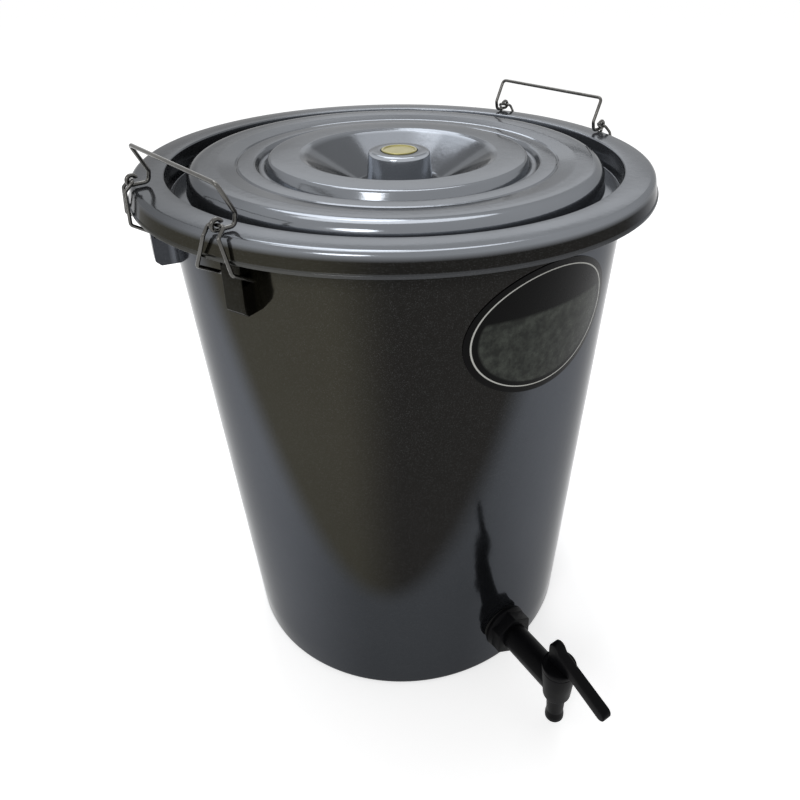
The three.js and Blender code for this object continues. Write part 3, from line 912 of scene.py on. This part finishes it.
# %% Press the label onto the wall
press = label.modifiers.new("press", "SHRINKWRAP")
press.target = bin_piece
press.wrap_method = "PROJECT"
press.use_project_y = True
press.use_negative_direction = press.use_positive_direction = True
press.offset = 0.3 * MM
bpy.ops.object.modifier_apply(modifier=press.name)
report(label)

# %% Face the label outwards and give it its thickness
bpy.ops.object.mode_set(mode="EDIT")
work = bmesh.from_edit_mesh(label.data)
if sum(face.normal.y * face.calc_area() for face in work.faces) > 0:
    bpy.ops.mesh.select_all(action="SELECT")
    bpy.ops.mesh.flip_normals()
bpy.ops.object.mode_set(mode="OBJECT")
film = label.modifiers.new("film", "SOLIDIFY")
film.thickness = 0.4 * MM
film.offset = 1
bpy.ops.object.modifier_apply(modifier=film.name)
swing(label, LABEL_TURN)
soften(label, 40)
report(label)

# %% [markdown]
# ## Finishes
#
# Each finish is a small net of nodes on the object's own coordinates: cloudy
# noise for slow changes of tone, cells for flakes, stretched noise for scuffs,
# and a bump for the skin of the moulding. An image would need a file and would
# blur close up, and nodes don't. Values that don't change over the surface are
# set on the shader itself.


# %% Short ways to add nodes
def blank(name):
    finish = bpy.data.materials.new(name + "_finish")
    finish.use_nodes = True
    return finish, finish.node_tree, finish.node_tree.nodes["Principled BSDF"]


def add(tree, kind, inputs=None, **settings):
    made = tree.nodes.new(kind)
    for key, value in settings.items():
        setattr(made, key, value)
    for key, value in (inputs or {}).items():
        if isinstance(value, bpy.types.NodeSocket):
            tree.links.new(value, made.inputs[key])
        else:
            made.inputs[key].default_value = value
    return made


# %% Patterns
def coordinates(tree, scale=(1, 1, 1), turn=(0, 0, 0), move=(0, 0, 0)):
    place = add(tree, "ShaderNodeTexCoord").outputs["Object"]
    inputs = {"Vector": place, "Scale": scale, "Rotation": turn, "Location": move}
    return add(tree, "ShaderNodeMapping", inputs).outputs["Vector"]


def noise(tree, place, scale, detail=2.0, roughness=0.5):
    inputs = {"Vector": place, "Scale": scale, "Detail": detail, "Roughness": roughness}
    return add(tree, "ShaderNodeTexNoise", inputs).outputs["Fac"]


def cells(tree, place, scale):
    made = add(tree, "ShaderNodeTexVoronoi", {"Vector": place, "Scale": scale})
    return add(tree, "ShaderNodeSeparateColor", {"Color": made.outputs["Color"]}).outputs["Red"]


# %% Sums and mixtures
def between(tree, value, low, high, to_low, to_high):
    inputs = {"Value": value, "From Min": low, "From Max": high}
    inputs |= {"To Min": to_low, "To Max": to_high}
    return add(tree, "ShaderNodeMapRange", inputs).outputs["Result"]


def mix(tree, factor, first, second):
    inputs = {0: factor, 6: first, 7: second}
    return add(tree, "ShaderNodeMix", inputs, data_type="RGBA").outputs[2]


def sums(tree, operation, *values):
    inputs = dict(enumerate(values))
    return add(tree, "ShaderNodeMath", inputs, operation=operation).outputs["Value"]


# %% Colour, gloss and relief, and a word when a finish is done
def coat(tree, shader, tone, roughness):
    tree.links.new(tone, shader.inputs["Base Color"])
    tree.links.new(roughness, shader.inputs["Roughness"])


def bump(tree, shader, height, strength, distance):
    inputs = {"Height": height, "Strength": strength, "Distance": distance}
    made = add(tree, "ShaderNodeBump", inputs)
    tree.links.new(made.outputs["Normal"], shader.inputs["Normal"])


def mixed(finish):
    print(finish.name, "has", len(finish.node_tree.nodes), "nodes")


# %% [markdown]
# ### Silver-grey plastic
#
# The bin and the lid are moulded in grey plastic that is full of fine metal
# flakes, so they mirror what stands round them, as dull metal does. The shader
# is mostly metallic for that reason, and its tint at low angles is grey, which
# keeps the edges from burning out. The skin has a very slight orange peel, and
# faint scuffs run round the bin.

# %% Start the silver-grey plastic
silver, tree, shader = blank("silver_plastic")
place = coordinates(tree)
clouds = noise(tree, place, 9, 3)
flake_scale = 2600
flakes = cells(tree, place, flake_scale)
streaks = noise(tree, coordinates(tree, scale=(1, 1, 14)), 26, 4, 0.6)
split = add(tree, "ShaderNodeSeparateXYZ", {"Vector": place})
height = split.outputs["Z"]
level_place = add(tree, "ShaderNodeVectorMath", {0: place, 1: (1, 1, 0)}, operation="MULTIPLY")
radius = add(tree, "ShaderNodeVectorMath", {0: level_place.outputs["Vector"]}, operation="LENGTH")
radius = radius.outputs["Value"]
print("one flake is about", round(1 / flake_scale / MM, 2), "mm")


# %% Three more short ways to add nodes
def ease(tree, value, low, high):
    """0 below low and 1 above high, with a soft change between them."""
    inputs = {"Value": value, "From Min": low, "From Max": high}
    made = add(tree, "ShaderNodeMapRange", inputs, interpolation_type="SMOOTHSTEP")
    return made.outputs["Result"]


def times(tree, colour, factor):
    made = add(tree, "ShaderNodeVectorMath", {0: colour, "Scale": factor}, operation="SCALE")
    return made.outputs["Vector"]


def band(tree, value, stops, inside):
    """1 beyond the outer two of four stops, and inside between the inner two."""
    first, second, third, fourth = (stop * MM for stop in stops)
    coming = between(tree, value, first, second, 1, inside)
    going = between(tree, value, third, fourth, inside, 1)
    return sums(tree, "MAXIMUM" if inside < 1 else "MINIMUM", coming, going)


# %% [markdown]
# A smooth wall mirrors the pale ground close to its foot, and darker things
# that stand further off above that. This is put into the wall's tone as a
# painted reflection, fixed to the wall: its darker part ends below in a curve
# like a bowl. The bowl is one parabola, drawn on the height and on the angle
# round the bin. Divided by its own slope, it blurs equally all along its edge.
# Inside and outside it there are two plain tones that run into each other, and
# both change with the angle round the bin: outside the bowl the painted
# reflection is darkest at one angle and paler to the sides. The lugs and the
# wall close under the rim get painted shade, darker as little light gets there.

# %% Draw the bowl of painted reflection on the wall
# Painted reflection: a darker bowl fixed on the wall, where the room above the pale ground would
# mirror.
bowl_turn = 52  # degrees round the bin from the -x side
bowl_low = 134 * MM
bowl_climb = 0.18 * MM  # for each degree squared
bowl_blur = 17 * MM
turn = sums(tree, "ARCTAN2", split.outputs["Y"], split.outputs["X"])
turn = sums(tree, "MULTIPLY_ADD", turn, 180 / pi, 180)
off_bowl = sums(tree, "SUBTRACT", turn, bowl_turn)
over_wall = between(tree, height, (SKIRT_EDGE - 0.2) * MM, SKIRT_EDGE * MM, 0, 1)
steepness = between(tree, over_wall, 0, 1, bowl_climb, 0.5 * bowl_climb)
climb = sums(tree, "MULTIPLY", sums(tree, "MULTIPLY", off_bowl, off_bowl), steepness)
over_bowl = sums(tree, "SUBTRACT", sums(tree, "SUBTRACT", height, climb), bowl_low)
wall_degree = 3.3 * MM  # one degree round the wall
slope = sums(tree, "MULTIPLY", off_bowl, 2 * bowl_climb / wall_degree)
slope = sums(tree, "SQRT", sums(tree, "MULTIPLY_ADD", slope, slope, 1))
in_reflected_bowl = ease(tree, sums(tree, "DIVIDE", over_bowl, slope), -bowl_blur, bowl_blur)
half_width = sqrt((SKIRT_EDGE * MM - bowl_low) / bowl_climb)
print("at the rim the bowl is", round(2 * half_width), "degrees wide")

# %% Mix the tones of the wall, with painted reflection and painted shade
# Painted reflection: outside the bowl the wall is darkest at this angle and paler to the sides.
darkest_reflection_turn = 60  # degrees, where the wall is darkest
warm, deep = (0.034, 0.032, 0.024, 1), (0.013, 0.0125, 0.0115, 1)
near, pale = (0.037, 0.040, 0.045, 1), (0.086, 0.092, 0.104, 1)
reflected_bowl_tone = mix(tree, ease(tree, turn, 42, 58), warm, deep)
aside = sums(tree, "ABSOLUTE", sums(tree, "SUBTRACT", turn, darkest_reflection_turn))
reflected_open_tone = mix(tree, ease(tree, aside, 12, 50), near, pale)
wall_tone = mix(tree, in_reflected_bowl, reflected_open_tone, reflected_bowl_tone)
# Painted shade under the rim and on the lugs.
under_rim = between(tree, height, 440 * MM, 463 * MM, 1, 0.45)
on_lug = between(tree, radius, 200 * MM, 203 * MM, 1, 0.4)
shade = sums(tree, "MULTIPLY", under_rim, on_lug)
wall_tone = times(tree, wall_tone, sums(tree, "MAXIMUM", shade, over_wall))
print("tones of the wall:", warm[0], deep[0], near[0], pale[0])

# %% [markdown]
# The lid and the flat of the rim look up into the light, so they get a paler
# tone than the wall, which is painted light, and painted shade makes them darker
# towards the left. Painted shade makes the slope of the dish darker than the
# rest of the lid, and painted light makes the side of the knob paler. The bead
# along the rim's lower edge takes the same pale tone, as a painted highlight.

# %% Mix the tones of the lid and the rim, with painted light and shade
# Painted light: the faces that look up get the paler tone.
over_rim = between(tree, height, 474 * MM, 478 * MM, 0, 1)
over_ledge = between(tree, height, 454 * MM, 456 * MM, 0, 1)
in_mouth = between(tree, radius, 196 * MM, 197 * MM, 1, 0)
lit_facing_up = sums(tree, "MAXIMUM", over_rim, sums(tree, "MULTIPLY", over_ledge, in_mouth))
# Painted highlight: a pale line along the bead at the rim's lower edge.
bead = between(tree, height, 466.5 * MM, 467 * MM, 0.18, 0)
bead = sums(tree, "MULTIPLY", bead, between(tree, radius, 222 * MM, 223 * MM, 0, 1))
# Painted shade: the lid and the rim darken towards the left, and painted light makes them paler
# to the right.
to_right = (0.806, -0.592, 0)
rightwards = add(tree, "ShaderNodeVectorMath", {0: place, 1: to_right}, operation="DOT_PRODUCT")
rightwards = ease(tree, rightwards.outputs["Value"], -165 * MM, -60 * MM)
shaded_lid_left, lit_lid_right = (0.100, 0.106, 0.115, 1), (0.202, 0.214, 0.233, 1)
lid_tone = mix(tree, rightwards, shaded_lid_left, lit_lid_right)
# Painted shade darkens the dish's slope, and painted light makes the knob's side paler.
dish, knob_side = (33, 38, 79, 84), (25, 26.5, 31, 33)  # radii, in millimetres
lid_tone = times(tree, lid_tone, band(tree, radius, dish, 0.5))
lid_tone = times(tree, lid_tone, band(tree, radius, knob_side, 2))
print("the lid's tone:", lit_lid_right[0], "and on the left:", shaded_lid_left[0])

# %% Finish the silver-grey plastic
tone = mix(tree, sums(tree, "MAXIMUM", lit_facing_up, bead), wall_tone, lid_tone)
tone = times(tree, tone, between(tree, clouds, 0, 1, 0.91, 1.09))
tone = mix(tree, between(tree, flakes, 0.85, 1, 0, 0.10), tone, (0.30, 0.31, 0.32, 1))
scuffs = between(tree, streaks, 0.66, 0.8, 0, 0.06)
tone = mix(tree, scuffs, tone, (0.17, 0.17, 0.165, 1))
gloss = between(tree, noise(tree, place, 30, 4), 0.3, 0.7, 0.10, 0.16)
coat(tree, shader, tone, sums(tree, "ADD", gloss, scuffs))
peel = sums(tree, "MULTIPLY_ADD", flakes, 0.02, noise(tree, place, 170, 2))
bump(tree, shader, peel, 0.08, 0.0006)
shader.inputs["Metallic"].default_value = 0.85
shader.inputs["Specular IOR Level"].default_value = 0.2
shader.inputs["Specular Tint"].default_value = (0.5, 0.5, 0.5, 1)
mixed(silver)

# %% [markdown]
# ### The other finishes
#
# The tap is black moulded plastic with a dull, slightly pitted skin. The
# platform is a plain grey plastic, the washers are rubber, the handles are
# drawn steel wire with a thin dull film, and the badge is satin gold metal.

# %% Mix the black plastic
black, tree, shader = blank("black_plastic")
place = coordinates(tree)
clouds = noise(tree, place, 45, 4)
pits = noise(tree, place, 1500, 2)
tone = mix(tree, clouds, (0.001, 0.001, 0.001, 1), (0.003, 0.003, 0.004, 1))
rubbed = between(tree, noise(tree, place, 260, 5, 0.7), 0.6, 0.75, 0, 0.3)
tone = mix(tree, rubbed, tone, (0.008, 0.008, 0.009, 1))
coat(tree, shader, tone, between(tree, clouds, 0.3, 0.7, 0.34, 0.5))
bump(tree, shader, pits, 0.25, 0.0002)
shader.inputs["Specular IOR Level"].default_value = 0.06
mixed(black)

# %% Mix the grey plastic
grey, tree, shader = blank("grey_plastic")
place = coordinates(tree)
clouds = noise(tree, place, 30, 4)
tone = mix(tree, clouds, (0.045, 0.05, 0.052, 1), (0.065, 0.07, 0.072, 1))
specks = between(tree, cells(tree, place, 900), 0.9, 1, 0, 0.4)
tone = mix(tree, specks, tone, (0.02, 0.02, 0.02, 1))
coat(tree, shader, tone, between(tree, clouds, 0.3, 0.7, 0.45, 0.6))
bump(tree, shader, noise(tree, place, 700, 3), 0.3, 0.0003)
mixed(grey)

# %% Mix the rubber
rubber, tree, shader = blank("black_rubber")
place = coordinates(tree)
dust = noise(tree, place, 120, 5, 0.65)
tone = mix(tree, dust, (0.006, 0.006, 0.006, 1), (0.02, 0.02, 0.019, 1))
coat(tree, shader, tone, between(tree, dust, 0.3, 0.7, 0.7, 0.85))
bump(tree, shader, noise(tree, place, 1100, 2), 0.3, 0.0002)
shader.inputs["Specular IOR Level"].default_value = 0.2
mixed(rubber)

# %% Mix the steel wire
steel, tree, shader = blank("steel_wire")
place = coordinates(tree)
film_spots = noise(tree, place, 90, 5, 0.6)
grain = noise(tree, place, 900, 3, 0.6)
tone = mix(tree, film_spots, (0.055, 0.053, 0.050, 1), (0.15, 0.148, 0.14, 1))
tone = mix(tree, between(tree, grain, 0.6, 0.75, 0, 0.5), tone, (0.035, 0.032, 0.028, 1))
coat(tree, shader, tone, between(tree, film_spots, 0.3, 0.7, 0.14, 0.28))
bump(tree, shader, grain, 0.15, 0.0001)
shader.inputs["Metallic"].default_value = 1.0
mixed(steel)

# %% Mix the gold
gold, tree, shader = blank("gold_metal")
place = coordinates(tree)
brushed = noise(tree, coordinates(tree, scale=(1, 18, 1)), 500, 3, 0.6)
patches = noise(tree, place, 120, 4)
tone = mix(tree, patches, (0.20, 0.18, 0.07, 1), (0.30, 0.27, 0.115, 1))
tone = mix(tree, between(tree, brushed, 0.55, 0.75, 0, 0.3), tone, (0.15, 0.125, 0.05, 1))
coat(tree, shader, tone, between(tree, brushed, 0.3, 0.7, 0.28, 0.42))
bump(tree, shader, brushed, 0.12, 0.0001)
shader.inputs["Metallic"].default_value = 1.0
mixed(gold)

# %% [markdown]
# ### The label's film
#
# The label is a black oval with a fine pale line just inside its edge. Below a
# black band at the top, its field is a mottled charcoal. The line could be a thin
# piece of its own, but it is printed and has no height. So the oval and the line
# are worked out from the distance to the middle of the label, with the pattern
# turned to face the way the label does.

# %% Mix the label's film
film, tree, shader = blank("label_film")
place = coordinates(tree)
centred = coordinates(tree, turn=(0, 0, -radians(LABEL_TURN)), move=(0, 0, -LABEL_HEIGHT * MM))
split = add(tree, "ShaderNodeSeparateXYZ", {"Vector": centred})
edge = 5.5  # mm from the label's edge to the pale line
line_x = sums(tree, "DIVIDE", split.outputs["X"], (label_half[0] - edge) * MM)
line_z = sums(tree, "DIVIDE", split.outputs["Z"], (label_half[1] - edge) * MM)
reach = sums(tree, "MULTIPLY_ADD", line_z, line_z, sums(tree, "MULTIPLY", line_x, line_x))
reach = sums(tree, "SQRT", reach)
off_line = sums(tree, "ABSOLUTE", sums(tree, "SUBTRACT", reach, 1.0))
on_line = between(tree, off_line, 0.006, 0.012, 1, 0)
mottle = noise(tree, place, 110, 6, 0.7)
charcoal, ash = (0.025, 0.027, 0.024, 1), (0.060, 0.066, 0.057, 1)
field = mix(tree, between(tree, mottle, 0.4, 0.62, 0, 1), charcoal, ash)
in_field = between(tree, reach, 0.90, 0.93, 1, 0)
below = between(tree, split.outputs["Z"], 14 * MM, 17 * MM, 1, 0)
tone = mix(tree, sums(tree, "MULTIPLY", in_field, below), (0.001, 0.001, 0.001, 1), field)
tone = mix(tree, on_line, tone, (0.62, 0.62, 0.58, 1))
coat(tree, shader, tone, between(tree, mottle, 0.3, 0.7, 0.2, 0.3))
bump(tree, shader, noise(tree, place, 300, 2), 0.1, 0.0003)
shader.inputs["Specular IOR Level"].default_value = 0.06
mixed(film)

# %% [markdown]
# ## Dressing the frame
#
# Each new piece stands for one CAD node, rides on the body that the node
# belongs to, and takes its finish in a material slot. Parenting by hand could
# move the pieces too, but this way each keeps its place.


# %% Put each piece on its body
def dress(piece, body, node, finish):
    piece.data.materials.clear()
    piece.data.materials.append(finish)
    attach(piece, body)
    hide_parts(node)
    print(piece.name, "stands for", node, "on", body)


dress(bin_piece, "bin", "bin_body", silver)
dress(lid_piece, "lid", "lid", silver)
dress(badge, "lid", "lid_badge", gold)
dress(barrel, "bin", "tap_body", black)
dress(stem, "tap_plug", "tap_plug", black)
dress(outer_washer, "bin", "tap_outer_washer", rubber)
dress(inner_washer, "bin", "tap_inner_washer", rubber)
dress(nut, "bin", "tap_back_nut", black)
dress(label, "bin", "label_skin", film)
dress(platform, "platform", "drainage_platform", grey)
for i, piece in enumerate(tubes):
    dress(piece, "platform", f"platform_leg_{i + 1}", grey)
for side, piece in handles.items():
    dress(piece, f"{side}_handle", f"{side}_handle", steel)
for place, piece in links.items():
    dress(piece, f"{place}_link", f"{place}_link", steel)

# %% [markdown]
# ## Floor and light
#
# The photograph has a plain white ground. Stronger lamps would whiten it, but
# they would wash out the bin. So the floor and the world are white where the
# camera or a glossy or clear material looks at them, and dimmer as light on the
# object. Oval soft boxes hang behind and above the bin, where the lid and the
# rim mirror them, with a low strip behind and a small one in front on the left.


# %% Lay the floor
def seen_directly(tree):
    """1 for camera, glossy and transmission rays, and 0 for the rest."""
    path = add(tree, "ShaderNodeLightPath").outputs
    either = sums(tree, "MAXIMUM", path["Is Camera Ray"], path["Is Glossy Ray"])
    return sums(tree, "MAXIMUM", either, path["Is Transmission Ray"])


put_down()
bpy.ops.mesh.primitive_plane_add(size=60, location=(0, 0, -0.0005))
floor = named("floor")
ground, tree, shader = blank("floor_white")
shader.inputs["Base Color"].default_value = (0.8, 0.8, 0.8, 1)
shader.inputs["Roughness"].default_value = 0.9
shader.inputs["Specular IOR Level"].default_value = 0.0
shader.inputs["Emission Color"].default_value = (1, 1, 1, 1)
glow = sums(tree, "MULTIPLY", seen_directly(tree), 0.6)
tree.links.new(glow, shader.inputs["Emission Strength"])
floor.data.materials.append(ground)
print("floor laid")

# %% Light the world
as_light, as_background = 0.5, 1.0
world = bpy.data.worlds.new("studio")
bpy.context.scene.world = world
world.use_nodes = True
tree = world.node_tree
sky = tree.nodes["Background"]
sky.inputs["Color"].default_value = (1, 1, 1, 1)
strength = between(tree, seen_directly(tree), 0, 1, as_light, as_background)
tree.links.new(strength, sky.inputs["Strength"])
print("the world's strength:", as_light, "and where it is seen:", as_background)


# %% Hang the soft boxes
def soft_box(name, place, aim, size, watts, colour):
    lamp = bpy.data.lights.new(name, "AREA")
    lamp.shape = "ELLIPSE"
    lamp.size, lamp.size_y = size
    lamp.energy = watts
    lamp.color = colour
    holder = bpy.data.objects.new(name, lamp)
    bpy.context.scene.collection.objects.link(holder)
    holder.location = place
    holder.rotation_euler = (Vector(aim) - Vector(place)).to_track_quat("-Z", "Y").to_euler()
    print(name, watts, "W at", place)


lid_middle = (0, 0, 0.45)
soft_box("back_box", (0.31, 1.16, 2.05), lid_middle, (0.75, 1.25), 9, (0.93, 0.96, 1))
soft_box("top_box", (0.15, 0.4, 2.4), lid_middle, (2.0, 1.2), 15, (0.97, 0.98, 1))
soft_box("low_strip", (0.93, 1.61, 1.2), lid_middle, (2.2, 0.4), 1.7, (1, 1, 1))
soft_box("front_box", (-1.42, -0.99, 1.45), lid_middle, (0.7, 0.6), 7, (1, 1, 1))
bpy.context.scene.view_settings.view_transform = "Standard"
